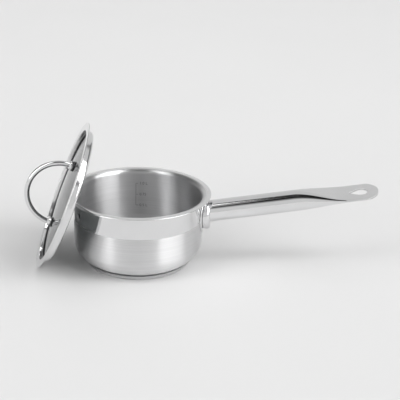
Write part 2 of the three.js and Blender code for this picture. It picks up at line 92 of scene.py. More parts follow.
def dome_height(radius):
    return math.sqrt(DOME_RADIUS**2 - radius**2) - (DOME_RADIUS - DOME_RISE)


FOOT_RISE, FOOT_TILT = dome_height(LOOP_RADIUS), math.asin(LOOP_RADIUS / DOME_RADIUS)
loop_height = LOOP_SPRING_HEIGHT + LOOP_RADIUS + WIRE_RADIUS
print("lid", 2 * LID_RADIUS, "mm across, loop stands", loop_height, "mm high")

# %% [markdown]
# ## Turned pieces
#
# Most of this object is round: the drawn shell, the base, the lid's ring, the glass and the washers. On a real
# machine each is spun or turned about its own axis, and in Blender the same thing is `bmesh.ops.spin`. A profile of
# points is joined into a line and swept through a full turn. `use_merge` closes the seam, and the normals are
# recalculated because a spin can leave them pointing inwards. A lattice of hand-listed faces would give the same
# shape, but it would be harder to read and to change.

# %% A profile from arcs and corners
ROUND_STEPS = 144  # sides of a large round piece
SMALL_STEPS = 48  # sides of a small one


def arc(x, y, radius, start, end, steps):
    angles = [math.radians(start + (end - start) * i / steps) for i in range(steps + 1)]
    return [(x + radius * math.cos(a), y + radius * math.sin(a)) for a in angles]


def turned(profile, ring=False, steps=ROUND_STEPS):
    bm = bmesh.new()
    line = [bm.verts.new((radius * MM, 0, height * MM)) for radius, height in profile]
    pairs = list(zip(line, line[1:])) + ([(line[-1], line[0])] if ring else [])
    edges = [bm.edges.new(pair) for pair in pairs]
    bmesh.ops.spin(
        bm, geom=line + edges, cent=(0, 0, 0), axis=(0, 0, 1), angle=2 * math.pi, steps=steps, use_merge=True
    )
    bmesh.ops.remove_doubles(bm, verts=bm.verts, dist=1e-6)
    bmesh.ops.recalc_face_normals(bm, faces=bm.faces)
    return bm


print("arcs of a quarter turn:", len(arc(0, 0, 1, 0, 90, 12)), "points")

# %% [markdown]
# ## From a mesh to a named piece
#
# A finished piece keeps a copy of its coordinates from before it is put in place, in an attribute named `own`. The
# lid's pieces are made lying flat and are then leaned against the pan, so their brushing can still run round their
# own axis. Edges sharper than the given angle stay crisp, and all others are shaded smooth.

# %% Make a piece and tell the frame about it
OWN = "own"


def finish_piece(bm, name, materials, body, stands_for, place=None, crisp=32):
    own = bm.verts.layers.float_vector.new(OWN)
    for vert in bm.verts:
        vert[own] = vert.co
    if place is not None:
        bmesh.ops.transform(bm, matrix=place, verts=bm.verts)
    for face in bm.faces:
        face.smooth = True
    mesh = bpy.data.meshes.new(name)
    bm.to_mesh(mesh)
    bm.free()
    mesh.set_sharp_from_angle(angle=math.radians(crisp))
    for material in materials:
        mesh.materials.append(material)
    piece = bpy.data.objects.new(name, mesh)
    bpy.context.collection.objects.link(piece)
    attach(piece, body)
    if stands_for:
        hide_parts(*stands_for)
    print(name, "rides on", body, "with", len(mesh.polygons), "faces")


# %% [markdown]
# ## Node helpers
#
# Each finish is a small tree of nodes. These helpers add a node with its settings, and make the two patterns that
# nearly every steel finish here is built from: fine lines that run round an axis, and soft blotches from handling.

# %% Add a node
def add(tree, kind, settings=None, **inputs):
    node = tree.nodes.new("ShaderNode" + kind)
    for key, value in (settings or {}).items():
        setattr(node, key, value)
    for key, value in inputs.items():
        socket = node.inputs[int(key[1:])] if key[1:].isdigit() else node.inputs[key.replace("_", " ")]
        if isinstance(value, bpy.types.NodeSocket):
            tree.links.new(value, socket)
        else:
            socket.default_value = value
    return node


def new_finish(name):
    material = bpy.data.materials.new(name)
    material.use_nodes = True
    tree = material.node_tree
    tree.nodes.clear()
    surface = add(tree, "BsdfPrincipled")
    output = add(tree, "OutputMaterial")
    tree.links.new(surface.outputs["BSDF"], output.inputs["Surface"])
    return material, tree, surface


def maths(tree, operation, a, b=0.0):
    return add(tree, "Math", {"operation": operation}, _0=a, _1=b).outputs[0]


def remap(tree, value, low, high, to_low, to_high):
    return add(tree, "MapRange", _0=value, _1=low, _2=high, _3=to_low, _4=to_high).outputs[0]


def noise(tree, vector, scale, detail=2.0, roughness=0.5):
    return add(tree, "TexNoise", Vector=vector, Scale=scale, Detail=detail, Roughness=roughness).outputs[0]


def two_tones(tree, value, dark, light, low=0.0, high=1.0):
    """A colour that goes from dark to light while the value goes from low to high."""
    node = add(tree, "ValToRGB", Fac=value)
    ends = node.color_ramp.elements
    ends[0].position, ends[1].position = low, high
    ends[0].color, ends[1].color = dark, light
    return node.outputs["Color"]


def darker(colour, share):
    return [channel * share for channel in colour[:3]] + [1.0]


# %% Lines round an axis
def own_axes(tree):
    place = add(tree, "Attribute", {"attribute_name": OWN})
    split = add(tree, "SeparateXYZ", Vector=place.outputs["Vector"])
    return place.outputs["Vector"], split.outputs


def round_lines(tree, along, across):
    """Noise drawn out round the axis: `across` lines per metre up the surface, `along` per metre round it."""
    _, (x, y, z) = own_axes(tree)
    squares = maths(tree, "ADD", maths(tree, "MULTIPLY", x, x), maths(tree, "MULTIPLY", y, y))
    radius = maths(tree, "SQRT", squares)
    path = maths(tree, "ADD", radius, z)
    stretched = add(
        tree,
        "CombineXYZ",
        X=maths(tree, "MULTIPLY", x, along),
        Y=maths(tree, "MULTIPLY", y, along),
        Z=maths(tree, "MULTIPLY", path, across),
    ).outputs[0]
    return noise(tree, stretched, 1.0, 3.0, 0.6)


print("helpers ready")

# %% [markdown]
# ## Steel finishes
#
# The top of the shell, the handle and the lid are mirror polished. A mirror is never perfect: faint lines from the
# polishing wheel and soft smears vary how sharp the reflection is. The inside of the pan is brushed round the
# axis, and the lower outside is a finer satin of the same kind. Brushing spreads each reflection up and down the
# wall into tall bright and dark bands. That comes from an anisotropic reflection whose direction follows a tangent
# round the Z axis, and from a bump of fine lines.

# %% Polished steel
STEEL_COLOUR = (0.80, 0.80, 0.805, 1.0)
NOISE_LOW, NOISE_HIGH = 0.3, 0.7  # nearly all of a noise lies between these
SMEAR_SCALE = 28.0


def polished(name, along, across, low, high, depth, colour=STEEL_COLOUR):
    """Lines as in round_lines and `depth` mm deep, with roughness from low to high."""
    material, tree, surface = new_finish(name)
    place, _ = own_axes(tree)
    lines = round_lines(tree, along, across)
    smears = noise(tree, place, SMEAR_SCALE, 3.0)
    mixed = maths(tree, "ADD", maths(tree, "MULTIPLY", lines, 0.5), maths(tree, "MULTIPLY", smears, 0.5))
    tint = two_tones(tree, smears, darker(colour, 0.95), colour, 0.25, 0.75)
    bump = add(tree, "Bump", Strength=1.0, Distance=depth * MM, Height=lines)
    surface.inputs["Metallic"].default_value = 1.0
    tree.links.new(tint, surface.inputs["Base Color"])
    tree.links.new(remap(tree, mixed, NOISE_LOW, NOISE_HIGH, low, high), surface.inputs["Roughness"])
    tree.links.new(bump.outputs["Normal"], surface.inputs["Normal"])
    return material


shell_polish = polished("shell_polish", 10.0, 420.0, 0.04, 0.11, 0.004)
lid_polish = polished("lid_polish", 8.0, 700.0, 0.05, 0.13, 0.006)
wire_polish = polished("wire_polish", 60.0, 90.0, 0.05, 0.12, 0.003)
fixing_finish = polished("fixing_finish", 300.0, 1500.0, 0.18, 0.34, 0.02, (0.62, 0.62, 0.63, 1.0))
print("polished finishes:", [m.name for m in (shell_polish, lid_polish, wire_polish, fixing_finish)])


# %% Brushed steel
FINE_LINES, BROAD_LINES = (9.0, 1700.0), (4.0, 320.0)  # along and across, as in round_lines
FINE_SHARE, BROAD_SHARE = 0.7, 0.3
ACROSS_THE_BRUSHING = 0.25  # share of a full turn between the tangent and the spread


def brushed(name, low, high, anisotropy, depth, colour):
    """Roughness from low to high, spread by the anisotropy, with fine lines `depth` mm deep."""
    material, tree, surface = new_finish(name)
    fine = round_lines(tree, *FINE_LINES)
    broad = round_lines(tree, *BROAD_LINES)
    both = maths(
        tree, "ADD", maths(tree, "MULTIPLY", fine, FINE_SHARE), maths(tree, "MULTIPLY", broad, BROAD_SHARE)
    )
    tint = two_tones(tree, both, darker(colour, 0.86), colour, NOISE_LOW, NOISE_HIGH)
    bump = add(tree, "Bump", Strength=1.0, Distance=depth * MM, Height=fine)
    tangent = add(tree, "Tangent", {"direction_type": "RADIAL", "axis": "Z"})
    surface.inputs["Metallic"].default_value = 1.0
    surface.inputs["Anisotropic"].default_value = anisotropy
    surface.inputs["Anisotropic Rotation"].default_value = ACROSS_THE_BRUSHING
    tree.links.new(tint, surface.inputs["Base Color"])
    tree.links.new(remap(tree, both, NOISE_LOW, NOISE_HIGH, low, high), surface.inputs["Roughness"])
    tree.links.new(bump.outputs["Normal"], surface.inputs["Normal"])
    tree.links.new(tangent.outputs["Tangent"], surface.inputs["Tangent"])
    return material


inside_brushed = brushed("inside_brushed", 0.28, 0.36, 1.0, 0.02, (0.74, 0.74, 0.745, 1.0))
wall_satin = brushed("wall_satin", 0.31, 0.34, 1.0, 0.001, STEEL_COLOUR)
base_brushed = brushed("base_brushed", 0.22, 0.38, 0.7, 0.02, (0.66, 0.66, 0.665, 1.0))
core_turned = brushed("core_turned", 0.38, 0.55, 0.5, 0.04, (0.72, 0.73, 0.74, 1.0))
etched = brushed("etched_mark", 0.5, 0.65, 0.0, 0.01, (0.30, 0.30, 0.305, 1.0))
print("brushed finishes:", [m.name for m in (inside_brushed, wall_satin, base_brushed, core_turned, etched)])


# %% [markdown]
# ## Rubber and glass
#
# The seal and the soft washers are moulded silicone: dark grey, dull, with a faint grain and a little dust. The disc
# is tempered glass with a smoke-grey tint, which looks dark from straight on and like a mirror from the side. A
# thin haze of finger marks varies how sharp that mirror is.

# %% Silicone and glass
def moulded_silicone():
    material, tree, surface = new_finish("silicone")
    place, _ = own_axes(tree)
    grain = noise(tree, place, 2600.0, 2.0)
    dust = noise(tree, place, 60.0, 4.0)
    tint = two_tones(tree, dust, (0.055, 0.056, 0.058, 1.0), (0.10, 0.101, 0.104, 1.0))
    bump = add(tree, "Bump", Strength=0.4, Distance=0.03 * MM, Height=grain)
    tree.links.new(tint, surface.inputs["Base Color"])
    tree.links.new(remap(tree, dust, NOISE_LOW, NOISE_HIGH, 0.42, 0.6), surface.inputs["Roughness"])
    tree.links.new(bump.outputs["Normal"], surface.inputs["Normal"])
    return material


SMOKE_GREY, GLASS_IOR = (0.12, 0.127, 0.128, 1.0), 1.52


def tempered_glass():
    material, tree, surface = new_finish("tempered_glass")
    place, _ = own_axes(tree)
    smears = noise(tree, place, 22.0, 4.0, 0.55)
    surface.inputs["Base Color"].default_value = SMOKE_GREY
    surface.inputs["Transmission Weight"].default_value = 1.0
    surface.inputs["IOR"].default_value = GLASS_IOR
    tree.links.new(remap(tree, smears, 0.45, 0.75, 0.004, 0.03), surface.inputs["Roughness"])
    return material


silicone = moulded_silicone()
glass = tempered_glass()
print("soft and clear finishes:", silicone.name, glass.name)

# %% [markdown]
# ## The drawn shell
#
# The body is one sheet: flat bottom, rounded corner, straight wall, and a mouth that flares out into a level rim for
# clean pouring. Its profile goes down the outside and back up the inside, so the spin gives a closed wall of real
# thickness. Faces that look into the pan take the brushed finish. The outside is mirror polished above a level
# cut and satin below it.

# %% Spin the shell
flare_bottom = BODY_HEIGHT - FLARE_RADIUS
corner_r, corner_z = BODY_RADIUS - CORNER_RADIUS, BODY_BOTTOM + CORNER_RADIUS
half_sheet = BODY_SHEET / 2
shell_profile = (
    [(0, BODY_BOTTOM), (corner_r / 2, BODY_BOTTOM)]
    + arc(corner_r, corner_z, CORNER_RADIUS, -90, 0, 18)
    + arc(RIM_INNER_RADIUS, flare_bottom, FLARE_RADIUS - BODY_SHEET, 180, 90, 10)
    + arc(RIM_RADIUS - half_sheet, BODY_HEIGHT - half_sheet, half_sheet, -90, 90, 8)
    + arc(RIM_INNER_RADIUS, flare_bottom, FLARE_RADIUS, 90, 180, 12)
    + arc(corner_r, corner_z, CORNER_RADIUS - BODY_SHEET, 0, -90, 18)
    + [(corner_r / 2, BODY_BOTTOM + BODY_SHEET), (0, BODY_BOTTOM + BODY_SHEET)]
)
POLISHED_FROM = 56.0  # height of the cut between mirror above and satin below
MIRROR, BRUSHED, SATIN = range(3)
LOOKS_IN, LOOKS_UP = -0.05, 0.5  # how far a normal leans to the axis, or upwards
shell = turned(shell_profile)
bmesh.ops.bisect_plane(
    shell,
    geom=list(shell.verts) + list(shell.edges) + list(shell.faces),
    plane_co=(0, 0, POLISHED_FROM * MM),
    plane_no=(0, 0, 1),
)
looks_in = 0
for face in shell.faces:
    centre = face.calc_center_median()
    outward = (face.normal.x * centre.x + face.normal.y * centre.y) / max(math.hypot(centre.x, centre.y), MM)
    is_floor = face.normal.z > LOOKS_UP and centre.z < corner_z * MM
    inside = outward < LOOKS_IN or is_floor
    outside_finish = SATIN if centre.z < POLISHED_FROM * MM else MIRROR
    face.material_index = BRUSHED if inside else outside_finish
    looks_in += inside
print(looks_in, "faces look into the pan")
finish_piece(
    shell, "drawn_shell", [shell_polish, inside_brushed, wall_satin], "pan", ["pan_body"]
)

# %% [markdown]
# ## The sandwich base
#
# An aluminium disc spreads the heat, and a thin steel cap holds it against the bottom. Between the cap's lip and the
# rounded corner of the shell there is a groove, which shows as a dark line just above the table.

# %% Spin the cap and the disc in it
cap_centre = BASE_RADIUS - CAP_EDGE_RADIUS
cap_profile = (
    [(0, 0), (cap_centre / 2, 0)]
    + arc(cap_centre, CAP_EDGE_RADIUS, CAP_EDGE_RADIUS, -90, 0, 8)
    + [(BASE_RADIUS, CORE_TOP), (BASE_RADIUS - CAP_SHEET, CORE_TOP)]
    + arc(cap_centre, CAP_EDGE_RADIUS, CAP_EDGE_RADIUS - CAP_SHEET, 0, -90, 5)
    + [(0, CAP_SHEET)]
)
finish_piece(turned(cap_profile), "sandwich_cap", [base_brushed], "pan", ["base_cap"])
core_radius = BASE_RADIUS - CAP_SHEET - GAP
core_profile = [
    (0, CORE_BOTTOM),
    (core_radius - CAP_EDGE_RADIUS, CORE_BOTTOM),
    (core_radius, CORE_BOTTOM + CAP_EDGE_RADIUS),
    (core_radius, CORE_TOP),
    (0, CORE_TOP),
]
finish_piece(turned(core_profile), "heat_disc", [core_turned], "pan", ["base_core"])

# %% [markdown]
# ## Marks for measuring
#
# A scale on the far wall says how much is in the pan. The heights aren't guessed: each is where the volume below it,
# added up in thin slices of the inside, reaches the amount. The marks are etched, so they are dull and dark. Each
# flat figure is made into a mesh first and then wrapped round the wall.

# %% Find the height of an amount
FLOOR = BODY_BOTTOM + BODY_SHEET
CUBIC_MM_IN_LITRE = 1e6
SLICE = 0.1


def height_of(litres):
    height, volume = FLOOR, 0.0
    inner_corner = CORNER_RADIUS - BODY_SHEET
    while volume < litres * CUBIC_MM_IN_LITRE:
        drop = max(0.0, FLOOR + inner_corner - height)
        radius = corner_r + math.sqrt(max(0.0, inner_corner**2 - drop**2))
        volume += math.pi * radius**2 * SLICE
        height += SLICE
    return height


amounts = {"1.0 L": 1.0, "0.75": 0.75, "0.5 L": 0.5}
print({text: round(height_of(litres), 1) for text, litres in amounts.items()})

# %% Wrap figures and ticks round the wall
MARK_LIFT, MARK_HALF_THICKNESS = 0.05, 0.02
SCALE_LINE_X, SCALE_TICK, SCALE_LINE = -8.6, 3.2, 0.45
FIGURE_HEIGHT, FIGURE_GAP = 5.0, 1.5


def wrap_on_wall(bm):
    for vert in bm.verts:
        across, up, out = vert.co / MM
        angle = across / BORE
        radius = BORE - MARK_LIFT - out
        vert.co = Vector((radius * math.sin(angle), radius * math.cos(angle), up)) * MM


def bar(bm, left, right, low, high):
    made = bmesh.ops.create_cube(bm, size=1.0)["verts"]
    size = Vector((right - left, high - low, 2 * MARK_HALF_THICKNESS)) * MM
    bmesh.ops.scale(bm, vec=size, verts=made)
    bmesh.ops.translate(bm, vec=Vector(((left + right) / 2, (low + high) / 2, 0)) * MM, verts=made)


def figure(bm, text, left, middle):
    curve = bpy.data.curves.new(text, "FONT")
    curve.body, curve.size, curve.align_y = text, FIGURE_HEIGHT * MM, "CENTER"
    curve.extrude = MARK_HALF_THICKNESS * MM
    holder = bpy.data.objects.new(text, curve)
    bpy.context.collection.objects.link(holder)
    mesh = bpy.data.meshes.new_from_object(holder)
    mesh.transform(Matrix.Translation(Vector((left, middle, 0)) * MM))
    bm.from_mesh(mesh)
    bpy.data.objects.remove(holder)
    bpy.data.curves.remove(curve)
    bpy.data.meshes.remove(mesh)


marks = bmesh.new()
heights = [height_of(litres) for litres in amounts.values()]
bar(marks, SCALE_LINE_X, SCALE_LINE_X + SCALE_LINE, min(heights), max(heights))
for text, height in zip(amounts, heights):
    low, high = height - SCALE_LINE / 2, height + SCALE_LINE / 2
    bar(marks, SCALE_LINE_X + SCALE_LINE, SCALE_LINE_X + SCALE_TICK, low, high)
    figure(marks, text, SCALE_LINE_X + SCALE_TICK + FIGURE_GAP, height)
bmesh.ops.remove_doubles(marks, verts=marks.verts, dist=1e-7)
wrap_on_wall(marks)
finish_piece(marks, "measuring_marks", [etched], "pan", [], crisp=20)

# %% [markdown]
# ## The handle's fixing
#
# An oval shield, rolled to the curve of the wall, spreads the load, and a domed ferrule stands on it round the root
# of the tube. Each starts as a round button spun from a short profile. Scaling makes it oval, and pushing each
# vertex back by the wall's own curve bends it to the pan.

# %% Oval buttons bent to the wall
WALL_RINGS = 10  # rings between the middle and the edge, so that the bend is smooth
FIXING_SIDES = 96
SHIELD_ROUNDING, FERRULE_ROUNDING = 0.6, 4.0
BACK_INSET = 0.2  # share of the rounding by which the back is smaller than the edge


def oval_on_wall(half_width, half_height, depth, rounding, back_radius):
    across = [(i / WALL_RINGS, 0) for i in range(WALL_RINGS + 1)]
    edge = rounding / half_width
    back = [(r * (1 - BACK_INSET * edge), 0) for r, _ in across]
    quarter = arc(0, 0, 1, 0, 90, WALL_RINGS)
    rise = [(1 - edge + edge * x, depth - rounding + rounding * y) for x, y in quarter]
    front = [(r * (1 - edge), depth) for r, _ in reversed(across[:-1])]
    button = turned(back + rise + front, steps=FIXING_SIDES)
    for vert in button.verts:
        y, z, x = vert.co.x * half_width, vert.co.y * half_height, vert.co.z
        curve = math.sqrt(back_radius**2 - (y / MM) ** 2)
        vert.co = Vector((curve * MM + x, y, z + FIXING_HEIGHT * MM))
    bmesh.ops.recalc_face_normals(button, faces=button.faces)
    return button


SHIELD_BACK = BODY_RADIUS + GAP
FERRULE_BACK = SHIELD_BACK + SHIELD_SHEET + GAP
shield = oval_on_wall(SHIELD_HALF_WIDTH, SHIELD_HALF_HEIGHT, SHIELD_SHEET, SHIELD_ROUNDING, SHIELD_BACK)
finish_piece(shield, "wall_shield", [wire_polish], "pan", ["handle_shield"])
ferrule = oval_on_wall(
    FERRULE_HALF_WIDTH, FERRULE_HALF_HEIGHT, FERRULE_DEPTH, FERRULE_ROUNDING, FERRULE_BACK
)
finish_piece(ferrule, "root_ferrule", [wire_polish], "pan", ["handle_ferrule"])

# %% [markdown]
# ## The tube handle
#
# A real handle like this starts as a plain round tube. A press flattens its outer end into a tongue, and a punch
# trims the tip and pierces a hanging hole. The code works in the same order: a circle is extruded into a tube,
# solidified into a wall, and then pressed by a formula which keeps the length round the wall.

# %% Extrude the tube and give it a wall
TUBE_SIDES, TUBE_STATIONS = 96, 120


def round_tube():
    bm = bmesh.new()
    bmesh.ops.create_circle(bm, cap_ends=False, segments=TUBE_SIDES, radius=TUBE_RADIUS * MM)
    bmesh.ops.rotate(bm, cent=(0, 0, 0), matrix=Matrix.Rotation(math.pi / 2, 3, "Y"), verts=bm.verts)
    bmesh.ops.translate(bm, vec=(TUBE_START * MM, 0, 0), verts=bm.verts)
    step = (HANDLE_LENGTH - TUBE_START) / TUBE_STATIONS * MM
    edges = list(bm.edges)
    for _ in range(TUBE_STATIONS):
        made = bmesh.ops.extrude_edge_only(bm, edges=edges)["geom"]
        edges = [g for g in made if isinstance(g, bmesh.types.BMEdge)]
        ends = [g for g in made if isinstance(g, bmesh.types.BMVert)]
        bmesh.ops.translate(bm, vec=(step, 0, 0), verts=ends)
    bmesh.ops.recalc_face_normals(bm, faces=bm.faces)
    bm.faces.ensure_lookup_table()
    first = bm.faces[0]
    centre = first.calc_center_median()
    if first.normal.y * centre.y + first.normal.z * centre.z < 0:
        bmesh.ops.reverse_faces(bm, faces=bm.faces)
    bmesh.ops.solidify(bm, geom=bm.faces, thickness=TUBE_WALL * MM)
    return bm


# %% Press the end flat and round its tip
MIDDLE = TUBE_RADIUS - TUBE_WALL / 2  # radius at the middle of the wall, which pressing doesn't stretch
FLAT_HALF = (TUBE_WALL + TUBE_INNER_SPACE) / 2
TONGUE_HALF_WIDTH = math.pi * MIDDLE / 2 + TUBE_WALL / 2


def pressed(y, z, half_height):
    """Moves a point of the round section to one with two round sides joined by flats."""
    run = math.pi * (MIDDLE - half_height) / 2
    offset = math.hypot(y, z) - MIDDLE
    along = math.atan2(abs(z), abs(y)) * MIDDLE
    bend = half_height * math.pi / 2
    turn = min(along, bend) / half_height
    out_y = run + (half_height + offset) * math.cos(turn) - max(0.0, along - bend)
    out_z = (half_height + offset) * math.sin(turn)
    return math.copysign(out_y, y), math.copysign(out_z, z)


tube = round_tube()
for vert in tube.verts:
    x, y, z = vert.co / MM
    t = min(1.0, max(0.0, (x - PRESS_START) / (PRESS_END - PRESS_START)))
    t = t * t * (3 - 2 * t)
    y, z = pressed(y, z, MIDDLE + (FLAT_HALF - MIDDLE) * t)
    if x > PRESS_END:
        side = min(abs(y), TONGUE_HALF_WIDTH)
        tip = HANDLE_LENGTH - TONGUE_HALF_WIDTH + math.sqrt(TONGUE_HALF_WIDTH**2 - side**2)
        x = PRESS_END + (x - PRESS_END) / (HANDLE_LENGTH - PRESS_END) * (tip - PRESS_END)
    vert.co = Vector((x, y, z)) * MM
tongue_width, tongue_thickness = 2 * TONGUE_HALF_WIDTH, 2 * FLAT_HALF + TUBE_WALL
print("tongue", round(tongue_width, 1), "mm wide and", round(tongue_thickness, 1), "mm thick")


# %% Punch the hanging hole
def drop_punch():
    bm = bmesh.new()
    centre = HANDLE_LENGTH - HOLE_TIP_MARGIN - HOLE_RADIUS
    point = centre + HOLE_RADIUS - HOLE_LENGTH
    tangent = math.degrees(math.acos(HOLE_RADIUS / (centre - point)))
    outline = [(point, 0.0)] + arc(centre, 0, HOLE_RADIUS, -180 + tangent, 180 - tangent, 40)
    loop = [bm.verts.new((x * MM, y * MM, -TUBE_RADIUS * MM)) for x, y in outline]
    floor = bm.faces.new(loop)
    made = bmesh.ops.extrude_face_region(bm, geom=[floor])["geom"]
    top = [g for g in made if isinstance(g, bmesh.types.BMVert)]
    bmesh.ops.translate(bm, vec=(0, 0, 2 * TUBE_RADIUS * MM), verts=top)
    bmesh.ops.recalc_face_normals(bm, faces=bm.faces)
    return bm


def carve(bm, *cutters):
    """Takes the cutters away from bm with the exact Boolean, and returns a new bmesh."""
    mesh = bpy.data.meshes.new("blank")
    bm.to_mesh(mesh)
    bm.free()
    blank = bpy.data.objects.new("blank", mesh)
    bpy.context.collection.objects.link(blank)
    tools = []
    for cutter in cutters:
        tool_mesh = bpy.data.meshes.new("punch")
        cutter.to_mesh(tool_mesh)
        cutter.free()
        tool = bpy.data.objects.new("punch", tool_mesh)
        bpy.context.collection.objects.link(tool)
        tools.append(tool)
        bite = blank.modifiers.new("punch", "BOOLEAN")
        bite.operation, bite.solver, bite.object = "DIFFERENCE", "EXACT", tool
    carved = bpy.data.meshes.new_from_object(blank.evaluated_get(bpy.context.evaluated_depsgraph_get()))
    out = bmesh.new()
    out.from_mesh(carved)
    for thing in [blank] + tools:
        spare = thing.data
        bpy.data.objects.remove(thing)
        bpy.data.meshes.remove(spare)
    bpy.data.meshes.remove(carved)
    return out


handle_place = (
    Matrix.Translation(Vector((BODY_RADIUS, 0, HANDLE_ROOT_HEIGHT)) * MM)
    @ Matrix.Rotation(-HANDLE_SLOPE, 4, "Y")
    @ Matrix.Rotation(HANDLE_TURN, 4, "X")
)
handle = carve(tube, drop_punch())
finish_piece(handle, "tube_handle", [wire_polish], "pan", ["handle_tube"], handle_place)

# %% [markdown]
# ## Leaning the lid
#
# The lid stands on the edge of its flange and its underside touches the edge of the rim. Its pieces are made flat,
# with Z out of the outer face, and one matrix leans them all. Working the matrix out from the rim, the glass and the
# flange keeps the lid where the frame has it.

# %% The matrix that leans the lid
LEAN_UP, LEAN_TURN, LEAN_SHIFT = math.radians(21.3), math.radians(7.1), -1.4


def leaning():
    level = Vector((-math.cos(LEAN_TURN), -math.sin(LEAN_TURN), 0))
    out = level * math.cos(LEAN_UP) + Vector((0, 0, math.sin(LEAN_UP)))
    along = Vector((-math.sin(LEAN_TURN), math.cos(LEAN_TURN), 0))
    up = along.cross(out)
    if up.z < 0:
        up.negate()
    touch = level * RIM_RADIUS + Vector((0, 0, BODY_HEIGHT))
    centre = touch + out * (GAP - GLASS_BOTTOM - DOME_RISE) + along * LEAN_SHIFT
    centre += up * ((LID_RADIUS * up.z + RING_SHEET * out.z - centre.z) / up.z)
    turn = Matrix((up, out.cross(up), out)).transposed().to_4x4()
    return Matrix.Translation(centre * MM) @ turn


lid_place = leaning()
print("lid centre", [round(v, 4) for v in lid_place.translation])

# %% [markdown]
# ## The lid's ring
#
# One strip of steel makes the flange, the skirt that goes down inside the mouth, and the lip that turns in under the
# skirt to carry the glass. It is spun as one closed profile, from the lip round the outside to the flange and
# back inside. The glass is a shallow dome, which makes a thin sheet much stiffer, with a flat edge for the seal.

# %% Spin the ring and the seal
skirt_r, skirt_z = SKIRT_RADIUS - SKIRT_EDGE_RADIUS, SKIRT_EDGE_RADIUS - SKIRT_DEPTH
half_ring = RING_SHEET / 2
ring_profile = (
    arc(LIP_RADIUS + half_ring, half_ring - SKIRT_DEPTH, half_ring, 90, 270, 8)
    + arc(skirt_r, skirt_z, SKIRT_EDGE_RADIUS, -90, 0, 10)
    + [(SKIRT_RADIUS, -RING_SHEET)]
    + arc(LID_RADIUS - FLANGE_EDGE, -FLANGE_EDGE, FLANGE_EDGE, -90, 90, 6)
    + arc(RING_BORE + FLANGE_EDGE, -FLANGE_EDGE, FLANGE_EDGE, 90, 180, 4)
    + arc(skirt_r, skirt_z, SKIRT_EDGE_RADIUS - RING_SHEET, 0, -90, 8)
)
steel_ring = turned(ring_profile, ring=True)
finish_piece(steel_ring, "steel_ring", [lid_polish], "lid", ["lid_ring"], lid_place)
slot_radius = GLASS_RADIUS + GAP
seal_corner = SKIRT_EDGE_RADIUS - RING_SHEET - GAP
seal_profile = (
    [(LIP_RADIUS, SEAL_BOTTOM)]
    + arc(SEAL_RADIUS - seal_corner, SEAL_BOTTOM + seal_corner, seal_corner, -90, 0, 8)
    + [
        (SEAL_RADIUS, SEAL_TOP),
        (SEAL_TOP_BORE, SEAL_TOP),
        (SEAL_TOP_BORE, SEAL_TOP - SEAL_LIP),
        (slot_radius, SEAL_TOP - SEAL_LIP),
        (slot_radius, SEAL_BOTTOM + SEAL_LIP),
        (LIP_RADIUS, SEAL_BOTTOM + SEAL_LIP),
    ]
)
glass_seal = turned(seal_profile, ring=True)
finish_piece(glass_seal, "glass_seal", [silicone], "lid", ["lid_seal"], lid_place)

# %% Spin the glass and drill it
DOME_RINGS = 36
dome = [(DOME_EDGE * i / DOME_RINGS, dome_height(DOME_EDGE * i / DOME_RINGS)) for i in range(DOME_RINGS)]
glass_profile = (
    [(radius, GLASS_BOTTOM + rise) for radius, rise in dome]
    + [
        (DOME_EDGE, GLASS_BOTTOM),
        (GLASS_RADIUS - GLASS_BEVEL, GLASS_BOTTOM),
        (GLASS_RADIUS, GLASS_BOTTOM + GLASS_BEVEL),
        (GLASS_RADIUS, GLASS_TOP - GLASS_BEVEL),
        (GLASS_RADIUS - GLASS_BEVEL, GLASS_TOP),
        (DOME_EDGE, GLASS_TOP),
    ]
    + [(radius, GLASS_TOP + rise) for radius, rise in reversed(dome)]
)
GLASS_HOLE, DRILL_OVERRUN = 2.9, 1.0


def at_foot(bm, x):
    """Stands a piece made on the lid's axis square to the glass at x."""
    tilt = math.copysign(FOOT_TILT, x)
    place = Matrix.Translation(Vector((x, 0, FOOT_RISE)) * MM) @ Matrix.Rotation(tilt, 4, "Y")
    bmesh.ops.transform(bm, matrix=place, verts=bm.verts)
    return bm


def drum(radius, low, high):
    return turned([(0, low), (radius, low), (radius, high), (0, high)], steps=SMALL_STEPS)


drill_low, drill_high = GLASS_BOTTOM - DRILL_OVERRUN, GLASS_TOP + DRILL_OVERRUN
drills = [at_foot(drum(GLASS_HOLE, drill_low, drill_high), x) for x in (LOOP_RADIUS, -LOOP_RADIUS)]
disc = carve(turned(glass_profile), *drills)
finish_piece(disc, "glass_disc", [glass], "lid", ["lid_glass"], lid_place)

# %% [markdown]
# ## The wire loop
#
# The grip is one round wire bent to a half circle with two short straight feet. A circle is spun half a turn about
# the loop's middle, and its two open ends are then extruded down to the glass.

# %% Spin the loop and draw out its feet
LOOP_STEPS, WIRE_SIDES = 72, 28
loop = bmesh.new()
bmesh.ops.create_circle(loop, cap_ends=False, segments=WIRE_SIDES, radius=WIRE_RADIUS * MM)
bmesh.ops.translate(loop, vec=Vector((LOOP_RADIUS, 0, LOOP_SPRING_HEIGHT)) * MM, verts=loop.verts)
bmesh.ops.spin(
    loop,
    geom=list(loop.verts) + list(loop.edges),
    cent=(0, 0, LOOP_SPRING_HEIGHT * MM),
    axis=(0, -1, 0),
    angle=math.pi,
    steps=LOOP_STEPS,
)
bmesh.ops.remove_doubles(loop, verts=loop.verts, dist=1e-7)
open_edges = [edge for edge in loop.edges if edge.is_boundary]
feet = bmesh.ops.extrude_edge_only(loop, edges=open_edges)["geom"]
foot_verts = [g for g in feet if isinstance(g, bmesh.types.BMVert)]
bmesh.ops.translate(loop, vec=(0, 0, (WIRE_END + FOOT_RISE - LOOP_SPRING_HEIGHT) * MM), verts=foot_verts)
bmesh.ops.holes_fill(loop, edges=[edge for edge in loop.edges if edge.is_boundary])
bmesh.ops.recalc_face_normals(loop, faces=loop.faces)
finish_piece(loop, "wire_loop", [wire_polish], "lid", ["lid_loop"], lid_place)

